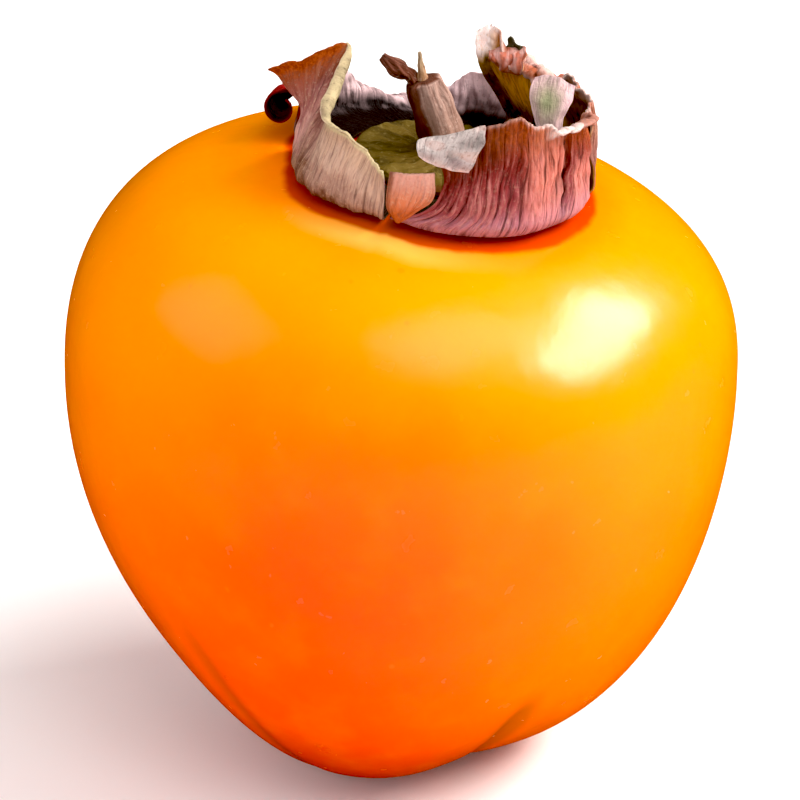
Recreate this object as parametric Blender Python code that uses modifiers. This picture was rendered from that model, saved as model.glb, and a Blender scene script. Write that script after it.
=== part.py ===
"""A ripe persimmon of the tall, heart-shaped kind, standing on the small flat spot at its tip.

The fruit is one solid, with four soft lobes at its lower end. Its crown carries the dried calyx:
a woody disc, four papery lobes curled up into a cup, a narrow strip torn from between two of them,
and the stub of the stem with a bract and a splinter at its cut end.

Units are metres, +Z is up, and the origin is at the centre of the flat spot on the ground.
Azimuths are in degrees from the front (-Y), positive towards +X."""

import math

import bmesh
import bpy
from mathutils import Matrix, Vector

MM = 0.001
GAP = 0.3 * MM  # clearance between neighbouring pieces

# Fruit
FRUIT_RADIUS = 38.5 * MM  # at its widest
WIDEST_HEIGHT = 47.0 * MM
CROWN_RISE = 25.6 * MM  # from the widest height up to the crown
TIP_DROP = 48.1 * MM  # from the widest height down to the tip that the flat spot cuts off
CROWN_HEIGHT_POWER = 0.75
CROWN_RADIUS_POWER = 0.706
TIP_HEIGHT_POWER = 1.075
TIP_RADIUS_POWER = 0.778
CROWN_TILT = 8.0  # degrees: the crown is lower on the right
CROWN_SHIFT = 2.5 * MM  # of the crown's axis to the right
TIP_SHIFT = -0.6 * MM
GROOVE_AZIMUTHS = (-67.5, 31.0, 135.0, 215.0)
GROOVE_WIDTH = 27.0
GROOVE_DEPTH = 0.225  # share of the radius at the tip
GROOVE_GROWTH = 2.3
DIMPLE_DEPTH = 3.6 * MM  # around the dry style, inside the flat spot
DIMPLE_RADIUS = 3.6 * MM
FRUIT_SEGMENTS = 56
FRUIT_RINGS = 44
RING_CROWDING = 1.8  # how closely the rings crowd towards the poles

# Calyx
CALYX_X = 4.35 * MM
RING_DROP = 0.94 * MM  # of the plane that heights are measured from, below the crown
DISC_RADIUS = 10.0 * MM
DISC_THICKNESS = 1.5 * MM
LOBE_THICKNESS = 0.5 * MM
LOBE_REST = 0.75 * MM  # of a lobe's middle surface above the skin
FLOOR_RADII = (10.6, 13.2)  # mm: where a lobe lies flat on the crown
FOOT_INSET = 1.4  # mm: of the turn up into the wall
RIB_ROWS = 15
COLUMNS_PER_RIB = 3

# Each rib of a lobe runs from the foot of its wall to its rim through points (azimuth, radius mm, height mm).
LEFT_LOBE = (
    ((-94, 16.8, 2.0), (-94, 16.8, 4.0), (-92, 17.0, 6.7), (-95.5, 20.8, 9.3)),
    ((-81, 17.1, 2.0), (-81, 17.0, 4.0), (-84, 16.5, 8.0), (-90, 16.8, 12.0)),
    ((-69, 17.9, 2.0), (-69, 17.4, 4.0), (-72, 15.8, 9.0), (-85.5, 12.9, 14.4)),
    ((-61, 18.7, 2.0), (-61, 18.1, 4.0), (-63, 16.1, 7.5), (-70, 14.3, 10.2)),
    ((-53, 19.1, 2.0), (-53, 18.5, 4.0), (-54.5, 17.0, 8.9)),
    ((-41, 18.9, 2.0), (-41, 18.4, 4.0), (-41, 17.0, 8.8)),
    ((-30, 18.2, 2.0), (-30, 18.0, 4.0), (-29, 17.2, 7.3)),
    ((-24, 17.8, 2.0), (-24, 17.8, 3.6), (-24, 17.4, 6.3)),
)
FRONT_LOBE = (
    ((-13.5, 18.2, 2.0), (-6, 18.2, 4.2), (-3, 17.8, 7.4), (-12, 17.4, 10.6)),
    ((-2, 18.3, 2.0), (3, 18.3, 4.0), (3, 17.8, 8.0), (2, 17.4, 12.4)),
    ((9, 18.4, 2.0), (11, 18.4, 4.0), (10, 17.9, 8.5), (9, 17.4, 13.5)),
    ((21, 18.4, 2.0), (22, 18.4, 4.0), (22, 17.9, 9.0), (21, 17.4, 15.0)),
    ((32, 18.2, 2.0), (32, 18.2, 4.0), (31, 17.8, 9.0), (30, 17.4, 13.9)),
    ((45, 17.7, 2.0), (46, 17.6, 4.0), (46, 17.4, 9.0), (45, 17.1, 14.0)),
    ((59, 16.9, 2.0), (60, 16.9, 4.0), (60, 16.5, 8.0), (60, 16.0, 12.9)),
    ((72, 16.4, 2.0), (72, 16.4, 3.5), (72, 16.2, 6.5), (73, 15.5, 11.1)),
)
# The front lobe's left corner is folded out and down along its rim, as far as the third rib.
FRONT_FLAP = (
    ((-12, 18.1, 10.8), (-11, 18.9, 10.2), (-10.3, 19.2, 8.9)),
    ((2, 18.1, 12.7), (0.5, 19.0, 11.4), (-1.5, 19.4, 8.9)),
    ((8.5, 18.1, 13.7), (7.5, 19.1, 12.0), (5.4, 19.6, 8.3)),
)
RIGHT_LOBE = (
    ((80, 16.4, 2.0), (80, 16.4, 3.8), (80, 16.2, 7.0), (79, 15.6, 10.5)),
    ((92, 16.6, 2.0), (92, 16.6, 4.5), (90, 16.2, 8.5), (87, 15.1, 11.4)),
    ((104, 16.8, 2.0), (104, 16.8, 4.5), (103, 15.9, 8.6), (99, 14.1, 11.9)),
    ((117, 16.8, 2.0), (117, 16.8, 4.2), (117, 15.4, 9.0), (114, 13.2, 12.5)),
    ((129, 16.6, 2.0), (129, 16.6, 4.0), (131, 14.6, 8.7), (128, 12.2, 12.8)),
    ((139, 16.4, 2.0), (139, 16.4, 3.6), (143, 14.0, 8.0), (143, 11.6, 13.0)),
    ((149, 16.0, 2.0), (149, 16.0, 3.0), (153, 13.6, 6.2), (160, 11.0, 10.2), (165, 10.7, 14.2)),
)
BACK_LOBE = (
    ((155, 17.3, 2.0), (151, 17.4, 3.2), (146, 17.5, 5.0), (142, 17.7, 6.2)),
    ((167, 17.2, 2.0), (167, 17.3, 3.2), (168, 17.5, 4.8), (169, 18.0, 6.1)),
    ((178, 17.4, 1.9), (178, 17.6, 2.8), (178, 18.6, 3.3), (178, 20.0, 3.1)),
    ((190, 17.6, 1.8), (190, 18.6, 2.0), (190, 20.4, 1.4), (190, 22.8, 0.4)),
    ((200, 17.6, 1.8), (200, 18.8, 1.9), (200, 21.0, 1.1), (200, 24.0, -0.4)),
    ((210, 17.4, 1.9), (210, 18.0, 3.0), (210, 20.0, 3.1), (210, 22.4, 1.9), (210, 24.0, 0.6)),
    ((222, 17.0, 2.0), (222, 17.0, 4.3), (222, 17.6, 5.8), (222, 19.6, 6.0), (222, 21.6, 4.2)),
    (
        (241, 17.0, 2.0), (241, 17.0, 4.5), (241, 17.4, 6.4), (241, 18.9, 7.0), (241, 20.5, 6.1),
        (241, 20.9, 4.5),
    ),
    (
        (260, 17.0, 2.0), (260, 16.9, 4.4), (260, 17.3, 6.2), (260, 18.7, 6.8), (260, 20.2, 6.1),
        (260, 20.8, 4.6), (260, 20.2, 3.2), (260, 19.0, 2.8),
    ),
)
TORN_STRIP = (
    ((-19.2, 18.3, 2.0), (-19.6, 18.3, 4.2), (-21.2, 18.6, 7.2)),
    ((-17.8, 18.6, 2.0), (-15.5, 18.6, 4.4), (-14.5, 18.9, 7.9)),
    ((-16.4, 18.7, 2.0), (-11.4, 18.7, 4.6), (-7.4, 18.9, 8.3)),
)

# Stem, in the calyx's own frame (x, height) in mm, and what is left at its cut end
STEM_LINE = ((-0.4, 3.7), (-0.45, 4.7), (-0.9, 5.9), (-1.6, 7.4), (-2.3, 8.9), (-3.0, 10.3), (-3.5, 11.4))
STEM_RADIUS = 2.3 * MM
STEM_RADII = (1.2, 1.13, 1.08, 1.04, 1.0, 0.93, 0.8)  # shares of STEM_RADIUS along STEM_LINE
BRACT_LINE = ((-4.9, 11.8), (-5.9, 12.1), (-7.2, 12.7), (-8.5, 13.5))
BRACT_RADIUS = 0.85 * MM
BRACT_RADII = (0.7, 1.0, 0.85, 0.45)
SPLINTER_LINE = ((-3.6, 12.1), (-4.1, 13.3), (-4.5, 14.5))
SPLINTER_RADIUS = 0.42 * MM
SPLINTER_RADII = (1.0, 0.7, 0.3)
STYLE_RADIUS = 0.8 * MM
STYLE_LENGTH = 1.3 * MM

SKIN_ORANGE = (1.0, 0.25, 0.01, 1)
LOBE_MAUVE = (0.36, 0.17, 0.16, 1)
LOBE_SALMON = (0.50, 0.16, 0.12, 1)
DISC_OLIVE = (0.20, 0.17, 0.03, 1)
STEM_BROWN = (0.20, 0.11, 0.09, 1)
STRAW = (0.62, 0.42, 0.22, 1)
DRY_BLACK = (0.02, 0.012, 0.008, 1)


def clear_scene():
    for old in list(bpy.data.objects):
        bpy.data.objects.remove(old, do_unlink=True)


def new_collection(name):
    collection = bpy.data.collections.new(name)
    bpy.context.scene.collection.children.link(collection)
    return collection


def material(name, color, roughness):
    made = bpy.data.materials.new(name)
    made.use_nodes = True
    shader = made.node_tree.nodes["Principled BSDF"]
    shader.inputs["Base Color"].default_value = color
    shader.inputs["Roughness"].default_value = roughness
    shader.inputs["Metallic"].default_value = 0.0
    return made


def add_object(name, data, collection, surface):
    made = bpy.data.objects.new(name, data)
    data.materials.append(surface)
    collection.objects.link(made)
    return made


def angle_between(a, b):
    """The signed difference of two azimuths, in degrees."""
    return (a - b + 180.0) % 360.0 - 180.0


def groove(azimuth):
    """How much of a groove lies at this azimuth: 1 in its bottom, 0 on a lobe."""
    return sum(math.exp(-((angle_between(azimuth, g) / GROOVE_WIDTH) ** 2)) for g in GROOVE_AZIMUTHS)


def fruit_point(azimuth, latitude):
    """A point of the skin. Radius and height are powers of the latitude's cosine and sine."""
    turn = math.radians(azimuth)
    sine = abs(math.sin(latitude))
    cosine = max(math.cos(latitude), 0.0)
    if latitude >= 0:
        rise = sine**CROWN_HEIGHT_POWER
        radius = FRUIT_RADIUS * cosine**CROWN_RADIUS_POWER
        shift = CROWN_SHIFT * rise**2
        slope = math.tan(math.radians(CROWN_TILT)) * rise
        height = WIDEST_HEIGHT + CROWN_RISE * rise - slope * radius * math.sin(turn)
    else:
        drop = sine**TIP_HEIGHT_POWER
        radius = FRUIT_RADIUS * cosine**TIP_RADIUS_POWER
        radius *= 1.0 - GROOVE_DEPTH * groove(azimuth) * drop**GROOVE_GROWTH
        shift = TIP_SHIFT * drop**2
        dimple = DIMPLE_DEPTH * math.exp(-((radius / DIMPLE_RADIUS) ** 2))
        height = WIDEST_HEIGHT - TIP_DROP * drop + dimple
    return Vector((radius * math.sin(turn) + shift, -radius * math.cos(turn), height))


def crowded(latitude):
    """The same latitude moved towards its pole, where the skin curves most."""
    pole = math.pi / 2
    moved = pole * (1.0 - (1.0 - abs(latitude) / pole) ** RING_CROWDING)
    return math.copysign(moved, latitude)


def crown_height(x, y):
    """The height of the skin under a point near the crown."""
    across = x - CROWN_SHIFT
    cosine = (math.hypot(across, y) / FRUIT_RADIUS) ** (1.0 / CROWN_RADIUS_POWER)
    rise = math.sqrt(max(1.0 - cosine**2, 0.0)) ** CROWN_HEIGHT_POWER
    return WIDEST_HEIGHT + CROWN_RISE * rise - math.tan(math.radians(CROWN_TILT)) * across


def calyx_frame():
    """The calyx's frame: its origin in the ring's plane, its Z axis square to the tilted crown."""
    origin = Vector((CALYX_X, 0, crown_height(CALYX_X, 0) - RING_DROP))
    return Matrix.Translation(origin) @ Matrix.Rotation(math.radians(CROWN_TILT), 4, "Y")


def calyx_point(azimuth, radius, height):
    """A world point from an azimuth and millimetres in the calyx's frame."""
    turn = math.radians(azimuth)
    local = Vector((radius * math.sin(turn), -radius * math.cos(turn), height)) * MM
    return calyx_frame() @ local


def resting_point(azimuth, radius):
    """A world point of a lobe that lies on the crown."""
    point = calyx_point(azimuth, radius, 0)
    point.z = crown_height(point.x, point.y) + LOBE_REST
    return point


def spline(points, share):
    """The point at a share of a Catmull-Rom curve through the points."""
    last = len(points) - 1
    place = min(max(share, 0.0), 1.0) * last
    i = min(int(place), last - 1)
    t = place - i
    b, c = points[i], points[i + 1]
    a = points[i - 1] if i else b * 2 - c
    d = points[i + 2] if i + 2 <= last else c * 2 - b
    return (b * 2 + (c - a) * t + (a * 2 - b * 5 + c * 4 - d) * t**2 + (b * 3 - a - c * 3 + d) * t**3) / 2


def evenly(points, count):
    """Count points evenly spaced along the curve through the points."""
    fine = [spline(points, k / 120) for k in range(121)]
    along = [0.0]
    for a, b in zip(fine, fine[1:]):
        along.append(along[-1] + (b - a).length)
    spaced = []
    j = 0
    for k in range(count):
        want = along[-1] * k / (count - 1)
        while j < 119 and along[j + 1] < want:
            j += 1
        step = along[j + 1] - along[j]
        spaced.append(fine[j].lerp(fine[j + 1], (want - along[j]) / step))
    return spaced


def rib_line(rib):
    """A rib's points from the disc, over the crown and up to the rim."""
    foot, wall, _ = rib[0]
    line = [resting_point(foot, r) for r in (*FLOOR_RADII, wall - FOOT_INSET)]
    line += [calyx_point(*point) for point in rib]
    return evenly(line, RIB_ROWS)


def widen(lines):
    """The ribs and the columns between them."""
    count = (len(lines) - 1) * COLUMNS_PER_RIB + 1
    rows = range(len(lines[0]))
    return [
        [spline([line[row] for line in lines], k / (count - 1)) for row in rows]
        for k in range(count)
    ]


def sheet_mesh(name, columns, flap=()):
    """A grid of faces through the columns. A flap goes on from the first columns' rims."""
    mesh = bmesh.new()
    made = [[mesh.verts.new(p) for p in column] for column in columns]
    for left, right in zip(made, made[1:]):
        for k in range(len(left) - 1):
            mesh.faces.new((left[k], right[k], right[k + 1], left[k + 1]))
    folded = [[made[i][-1]] + [mesh.verts.new(p) for p in column] for i, column in enumerate(flap)]
    for left, right in zip(folded, folded[1:]):
        for k in range(len(left) - 1):
            mesh.faces.new((left[k], right[k], right[k + 1], left[k + 1]))
    data = bpy.data.meshes.new(name)
    mesh.to_mesh(data)
    mesh.free()
    data.shade_smooth()
    return data


def add_lobe(name, ribs, collection, surface, flap=()):
    """One papery lobe: a sheet lofted through its ribs and given its thickness."""
    columns = widen([rib_line(rib) for rib in ribs])
    folded = widen([[calyx_point(*p) for p in rib] for rib in flap]) if flap else ()
    lobe = add_object(name, sheet_mesh(name, columns, folded), collection, surface)
    thicken = lobe.modifiers.new("thickness", "SOLIDIFY")
    thicken.thickness = LOBE_THICKNESS
    thicken.offset = 0.0
    return lobe


def add_fruit(collection, cutters):
    """The fruit: a sphere reshaped to the skin's formula, cut flat on the ground."""
    mesh = bmesh.new()
    bmesh.ops.create_uvsphere(mesh, u_segments=FRUIT_SEGMENTS, v_segments=FRUIT_RINGS, radius=1.0)
    for vert in mesh.verts:
        azimuth = math.degrees(math.atan2(vert.co.x, -vert.co.y))
        latitude = crowded(math.asin(min(max(vert.co.z, -1.0), 1.0)))
        vert.co = fruit_point(azimuth, latitude)
    data = bpy.data.meshes.new("fruit")
    mesh.to_mesh(data)
    mesh.free()
    data.shade_smooth()
    fruit = add_object("fruit", data, collection, material("fruit_skin", SKIN_ORANGE, 0.22))

    bpy.ops.mesh.primitive_cube_add(size=2 * FRUIT_RADIUS, location=(0, 0, -FRUIT_RADIUS))
    ground = bpy.context.object
    ground.name = "ground_cutter"
    ground.display_type = "WIRE"
    ground.hide_render = True
    for owner in list(ground.users_collection):
        owner.objects.unlink(ground)
    cutters.objects.link(ground)
    flat = fruit.modifiers.new("flat_spot", "BOOLEAN")
    flat.operation = "DIFFERENCE"
    flat.object = ground
    return fruit


def add_turned(name, profile, segments, frame, collection, surface):
    """A turned piece: a profile of (radius, height) from the top of its outer side, spun about Z."""
    data = bpy.data.meshes.new(name)
    edges = [(k, k + 1) for k in range(len(profile) - 1)]
    data.from_pydata([(r, 0, z) for r, z in profile], edges, [])
    piece = add_object(name, data, collection, surface)
    piece.matrix_world = frame
    spin = piece.modifiers.new("spin", "SCREW")
    spin.steps = segments
    spin.render_steps = segments
    spin.use_merge_vertices = True
    spin.merge_threshold = 0.00001
    return piece


def add_disc(collection):
    """The woody disc that the lobes grow from, a little raised where the stem leaves it."""
    bottom = RING_DROP + GAP + 0.2 * MM
    top = bottom + DISC_THICKNESS
    bevel = 0.5 * MM
    profile = [
        (0.0, top + 0.2 * MM),
        (3.2 * MM, top + 0.2 * MM),
        (4.2 * MM, top),
        (DISC_RADIUS - 2 * bevel, top - 0.2 * MM),
        (DISC_RADIUS, top - 0.2 * MM - bevel),
        (DISC_RADIUS, bottom + bevel),
        (DISC_RADIUS - bevel, bottom),
        (0.0, bottom),
    ]
    surface = material("calyx_disc", DISC_OLIVE, 0.8)
    return add_turned("calyx_disc", profile, 32, calyx_frame(), collection, surface)


def add_style(collection):
    """The dry remnant of the style, a point hanging in the dimple at the tip."""
    top = WIDEST_HEIGHT - TIP_DROP + DIMPLE_DEPTH - 2 * GAP
    profile = [
        (0.0, top),
        (STYLE_RADIUS, top),
        (STYLE_RADIUS * 0.35, top - STYLE_LENGTH),
        (0.0, top - STYLE_LENGTH),
    ]
    frame = Matrix.Translation((TIP_SHIFT, 0, 0))
    return add_turned("style_tip", profile, 12, frame, collection, material("style", DRY_BLACK, 0.9))


def add_stick(name, line, radius, radii, collection, surface):
    """A round tapering stick along a line of (x, height) in the calyx's frame."""
    curve = bpy.data.curves.new(name, "CURVE")
    curve.dimensions = "3D"
    curve.bevel_depth = radius
    curve.bevel_resolution = 3
    curve.use_fill_caps = True
    run = curve.splines.new("POLY")
    run.points.add(len(line) - 1)
    for point, (x, height), share in zip(run.points, line, radii):
        point.co = (x * MM, 0, height * MM, 1)
        point.radius = share
    stick = add_object(name, curve, collection, surface)
    stick.matrix_world = calyx_frame()
    return stick


def main():
    clear_scene()
    parts = new_collection("persimmon")
    cutters = new_collection("cutters")
    add_fruit(parts, cutters)
    add_disc(parts)
    mauve = material("lobe_mauve", LOBE_MAUVE, 0.85)
    salmon = material("lobe_salmon", LOBE_SALMON, 0.85)
    add_lobe("calyx_lobe_left", LEFT_LOBE, parts, mauve)
    add_lobe("calyx_lobe_front", FRONT_LOBE, parts, salmon, FRONT_FLAP)
    add_lobe("calyx_lobe_right", RIGHT_LOBE, parts, mauve.copy())
    add_lobe("calyx_lobe_back", BACK_LOBE, parts, mauve.copy())
    add_lobe("calyx_strip", TORN_STRIP, parts, salmon.copy())
    brown = material("stem_bark", STEM_BROWN, 0.85)
    add_stick("stem", STEM_LINE, STEM_RADIUS, STEM_RADII, parts, brown)
    dark = material("bract_bark", DRY_BLACK, 0.9)
    add_stick("stem_bract", BRACT_LINE, BRACT_RADIUS, BRACT_RADII, parts, dark)
    straw = material("splinter_straw", STRAW, 0.8)
    add_stick("stem_splinter", SPLINTER_LINE, SPLINTER_RADIUS, SPLINTER_RADII, parts, straw)
    add_style(parts)


main()
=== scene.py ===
# The persimmon's looks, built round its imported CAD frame. Lengths are in millimetres of the CAD
# until they are multiplied by MM. Azimuths are in degrees from the front (-Y) towards +X.
import math

import bpy
import numpy as np
from mathutils import Matrix, Vector


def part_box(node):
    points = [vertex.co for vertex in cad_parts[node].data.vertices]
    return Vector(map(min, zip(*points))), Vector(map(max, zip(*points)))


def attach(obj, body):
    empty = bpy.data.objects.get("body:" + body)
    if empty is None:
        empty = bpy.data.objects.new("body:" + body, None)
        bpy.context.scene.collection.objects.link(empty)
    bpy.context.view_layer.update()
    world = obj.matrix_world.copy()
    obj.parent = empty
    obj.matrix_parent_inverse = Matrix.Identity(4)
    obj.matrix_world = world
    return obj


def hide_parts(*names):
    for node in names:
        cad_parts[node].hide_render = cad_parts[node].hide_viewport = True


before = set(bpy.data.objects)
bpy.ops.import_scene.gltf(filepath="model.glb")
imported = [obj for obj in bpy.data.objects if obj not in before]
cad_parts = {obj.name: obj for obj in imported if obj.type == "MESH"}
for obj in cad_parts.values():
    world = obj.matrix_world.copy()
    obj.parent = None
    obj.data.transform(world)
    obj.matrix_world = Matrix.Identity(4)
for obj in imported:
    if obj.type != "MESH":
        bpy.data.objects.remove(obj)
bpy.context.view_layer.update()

fruit_low, fruit_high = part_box("fruit")
disc_low, disc_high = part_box("calyx_disc")

# Fruit, as in the CAD
RADIUS = 38.5
MM = (fruit_high.y - fruit_low.y) / 2 / RADIUS
WIDEST = 47.0
CROWN_RISE, CROWN_HEIGHT_POWER, CROWN_RADIUS_POWER = 25.6, 0.75, 0.706
TIP_DROP, TIP_HEIGHT_POWER, TIP_RADIUS_POWER = 48.1, 1.075, 0.778
CROWN_SLOPE = math.tan(math.radians(8.0))
CROWN_SHIFT, TIP_SHIFT = 2.5, -0.6
GROOVES, GROOVE_WIDTH, GROOVE_DEPTH, GROOVE_GROWTH = (-67.5, 31.0, 135.0, 215.0), 27.0, 0.225, 2.3
DIMPLE_DEPTH, DIMPLE_RADIUS = 3.6, 3.6

# Calyx, as in the CAD
TILT = Matrix.Rotation(math.radians(8.0), 3, "Y")
DISC_MIDDLE = 2.29
CALYX = (disc_low + disc_high) / 2 - TILT @ Vector((0, 0, DISC_MIDDLE * MM))
LOBE_REST = 0.75
FLOOR_RADII = (10.6, 13.2)
FOOT_INSET = 1.4
CUP_MIDDLE = (0, 0, 8)

# Thickness of the looser bits of sepal
SHRED, STRIP = 0.26, 0.3

# Each rib of a lobe runs from the foot of its wall to its rim through points (azimuth, radius, height).
LEFT_LOBE = (
    ((-94, 16.5, 2.0), (-94, 16.3, 4.0), (-92, 16.8, 6.7), (-95.5, 20.8, 9.7)),
    ((-81, 16.9, 2.0), (-81, 16.6, 4.0), (-84, 16.2, 8.0), (-90, 16.8, 12.2)),
    ((-69, 17.9, 2.0), (-69, 17.3, 4.0), (-72, 15.6, 9.0), (-85.5, 12.3, 14.6)),
    ((-61, 18.6, 2.0), (-61, 17.9, 4.0), (-63, 15.8, 7.5), (-69, 13.6, 10.9)),
    ((-53, 18.8, 2.0), (-53, 18.4, 4.0), (-55, 16.6, 9.1)),
    ((-41, 18.8, 2.0), (-41, 18.4, 4.0), (-41, 17.0, 8.8)),
    ((-30, 18.2, 2.0), (-30, 18.0, 4.0), (-29, 17.2, 7.3)),
    ((-21.5, 18.0, 1.8), (-22, 18.0, 3.6), (-24, 17.5, 6.4)),
)
FRONT_LOBE = (
    ((-19, 17.5, 1.7), (-10, 18.1, 3.0), (-4, 18.2, 4.8), (-3, 17.8, 8.0), (-13, 17.4, 11.0)),
    ((-7, 18.2, 2.0), (0, 18.3, 4.0), (3, 17.8, 8.0), (1, 17.4, 12.6)),
    ((6, 18.4, 2.0), (10, 18.4, 4.0), (10, 17.9, 8.5), (9, 17.4, 13.8)),
    ((20, 18.4, 2.0), (21, 18.4, 4.0), (22, 17.9, 9.0), (21, 17.4, 15.1)),
    ((32, 18.2, 2.0), (32, 18.2, 4.0), (31, 17.8, 9.0), (28, 17.4, 14.0)),
    ((45, 17.7, 2.0), (46, 17.6, 4.0), (46, 17.3, 9.0), (44, 17.1, 14.5)),
    ((59, 17.5, 2.0), (60, 17.2, 4.0), (60, 16.6, 8.0), (60, 15.8, 13.5)),
    ((72, 17.0, 2.0), (72, 16.8, 3.5), (72, 16.2, 6.5), (73.5, 15.1, 11.6)),
)
# The front lobe's left corner is folded out and down along its rim, as far as the third rib.
FRONT_FLAP = (
    ((-13.5, 18.0, 11.1), (-12.8, 18.8, 10.7), (-12, 18.9, 9.8)),
    ((0.5, 18.0, 12.9), (-1.5, 19.1, 11.4), (-4, 19.3, 9.2)),
    ((8.5, 18.0, 13.9), (8, 19.2, 12.2), (4.5, 19.5, 9.1)),
)
RIGHT_LOBE = (
    ((80, 16.9, 2.0), (80, 16.6, 3.8), (80, 16.2, 7.0), (78.5, 15.4, 10.9)),
    ((92, 16.6, 2.0), (92, 16.6, 4.5), (90, 16.2, 8.5), (87, 15.0, 11.6)),
    ((104, 16.8, 2.0), (104, 16.8, 4.5), (103, 15.9, 8.6), (99, 14.0, 12.0)),
    ((117, 16.8, 2.0), (117, 16.8, 4.2), (117, 15.4, 9.0), (113, 13.1, 12.6)),
    ((129, 16.6, 2.0), (129, 16.6, 4.0), (131, 14.6, 8.7), (127, 12.1, 13.4)),
    ((139, 16.4, 2.0), (139, 16.4, 3.6), (143, 14.0, 8.0), (142, 11.5, 14.0)),
    ((146, 16.2, 2.0), (146, 16.2, 3.2), (150, 13.8, 6.5), (156, 11.0, 10.8), (157, 10.8, 15.0)),
    ((152, 16.0, 2.0), (152, 16.0, 2.8), (155, 13.6, 5.6), (162, 10.9, 9.4), (171, 10.6, 14.2)),
)
# The crumpled fold of the right lobe's rim in front of its tip: (x, y, height)
FOLD = (
    ((3.8, 9.1, 12.0), (3.8, 8.4, 11.8), (3.9, 8.3, 11.3), (4.0, 8.8, 11.0)),
    ((5.0, 9.3, 12.5), (5.0, 8.2, 12.2), (5.1, 7.9, 11.3), (5.2, 8.5, 10.7)),
    ((6.4, 9.3, 12.8), (6.3, 8.0, 12.3), (6.3, 7.6, 11.1), (6.4, 8.2, 10.3)),
    ((8.0, 9.0, 13.0), (7.9, 7.9, 12.4), (7.8, 7.3, 11.2), (7.8, 7.8, 10.4)),
)
BACK_LOBE = (
    ((149, 17.4, 2.0), (147, 17.4, 3.4), (144, 17.5, 5.0), (141, 17.7, 6.2)),
    ((167, 17.2, 2.0), (167, 17.3, 3.2), (168, 17.5, 4.8), (169, 18.0, 6.1)),
    ((178, 17.4, 1.9), (178, 17.6, 2.8), (178, 18.4, 3.3), (178, 19.6, 3.1)),
    ((190, 17.6, 1.7), (190, 18.6, 1.9), (190, 20.4, 1.2), (190, 22.6, 0.2)),
    ((200, 17.6, 1.7), (200, 18.8, 1.8), (200, 21.0, 0.9), (200, 24.0, -0.5)),
    ((210, 17.4, 1.9), (210, 18.0, 3.0), (210, 20.0, 3.1), (210, 22.4, 1.9), (210, 24.0, 0.6)),
    ((222, 17.0, 2.0), (222, 17.0, 4.3), (222, 17.6, 5.8), (222, 19.6, 6.0), (222, 21.6, 4.2)),
    (
        (241, 17.0, 2.0), (241, 17.0, 4.5), (241, 17.4, 6.4), (241, 18.9, 7.0),
        (241, 20.5, 6.1), (241, 20.9, 4.5), (241, 20.1, 3.1),
    ),
    (
        (260, 17.0, 2.0), (260, 16.9, 4.4), (260, 17.3, 6.2), (260, 18.7, 6.8),
        (260, 20.2, 6.1), (260, 20.8, 4.6), (260, 20.2, 3.2), (260, 18.9, 2.7),
        (260, 17.9, 3.4), (260, 17.8, 4.7), (260, 18.6, 5.4),
    ),
)
TORN_STRIP = (
    ((-17.2, 17.8, 1.5), (-20.5, 18.6, 3.6), (-20.5, 19.0, 7.4)),
    ((-16.3, 17.9, 1.4), (-14.0, 19.0, 4.0), (-13.5, 19.4, 7.9)),
    ((-15.4, 17.9, 1.5), (-7.6, 19.0, 4.2), (-5.0, 19.0, 5.8), (-6.0, 19.1, 8.4)),
)
LOBES = (LEFT_LOBE, FRONT_LOBE, RIGHT_LOBE, BACK_LOBE)
# A tongue torn from the right lobe, hanging into the cup, and the olive tatter: (x, y, height)
TONGUE = (
    ((9.0, 3.0, 12.1), (8.5, 0.8, 11.0), (9.0, -1.2, 9.4), (10.0, -2.2, 7.8)),
    ((10.6, 2.4, 12.7), (10.2, -0.4, 11.2), (10.4, -1.9, 9.4), (10.8, -2.6, 7.7)),
    ((12.0, 1.6, 12.7), (11.8, -0.8, 11.4), (11.6, -2.1, 9.6), (11.6, -2.6, 7.8)),
    ((13.4, 1.0, 12.3), (13.1, -0.4, 11.0), (12.4, -1.6, 9.6), (12.3, -2.2, 8.0)),
)
TATTER = (
    ((5.8, 9.3, 12.6), (5.8, 9.2, 13.3), (5.8, 9.1, 14.1)),
    ((6.7, 9.1, 12.6), (6.6, 9.0, 13.0), (6.5, 8.9, 13.8)),
    ((7.6, 8.9, 12.6), (7.7, 8.8, 12.8), (7.9, 8.8, 13.1)),
)
# The lines (x, height) of the stem and of what is left at its cut end, and their radii
STEM_LINE = ((-0.1, 3.4), (-0.4, 4.6), (-0.9, 5.9), (-1.6, 7.4), (-2.3, 8.9), (-3.0, 10.3), (-3.5, 11.4))
STEM_RADII = (2.9, 2.65, 2.5, 2.4, 2.3, 2.15, 1.85)
BRACT_LINE = ((-4.5, 11.0), (-5.2, 11.7), (-6.1, 12.0), (-7.2, 12.6), (-8.4, 13.4))
BRACT_RADII = (0.7, 0.6, 0.95, 0.9, 0.3)
SPLINTER_LINE = ((-3.6, 11.3), (-4.0, 12.8), (-4.4, 14.5))
SPLINTER_RADII = (0.62, 0.36, 0.14)


def smooth(low, high, value):
    """0 below low, 1 above high, and smooth between."""
    t = np.clip((value - low) / (high - low), 0, 1)
    return t * t * (3 - 2 * t)


def fade(low, high, value):
    """1 below low, 0 above high, and smooth between."""
    return 1 - smooth(low, high, value)


def bump(centre, width, value):
    return np.exp(-(((value - centre) / width) ** 2))


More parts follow.
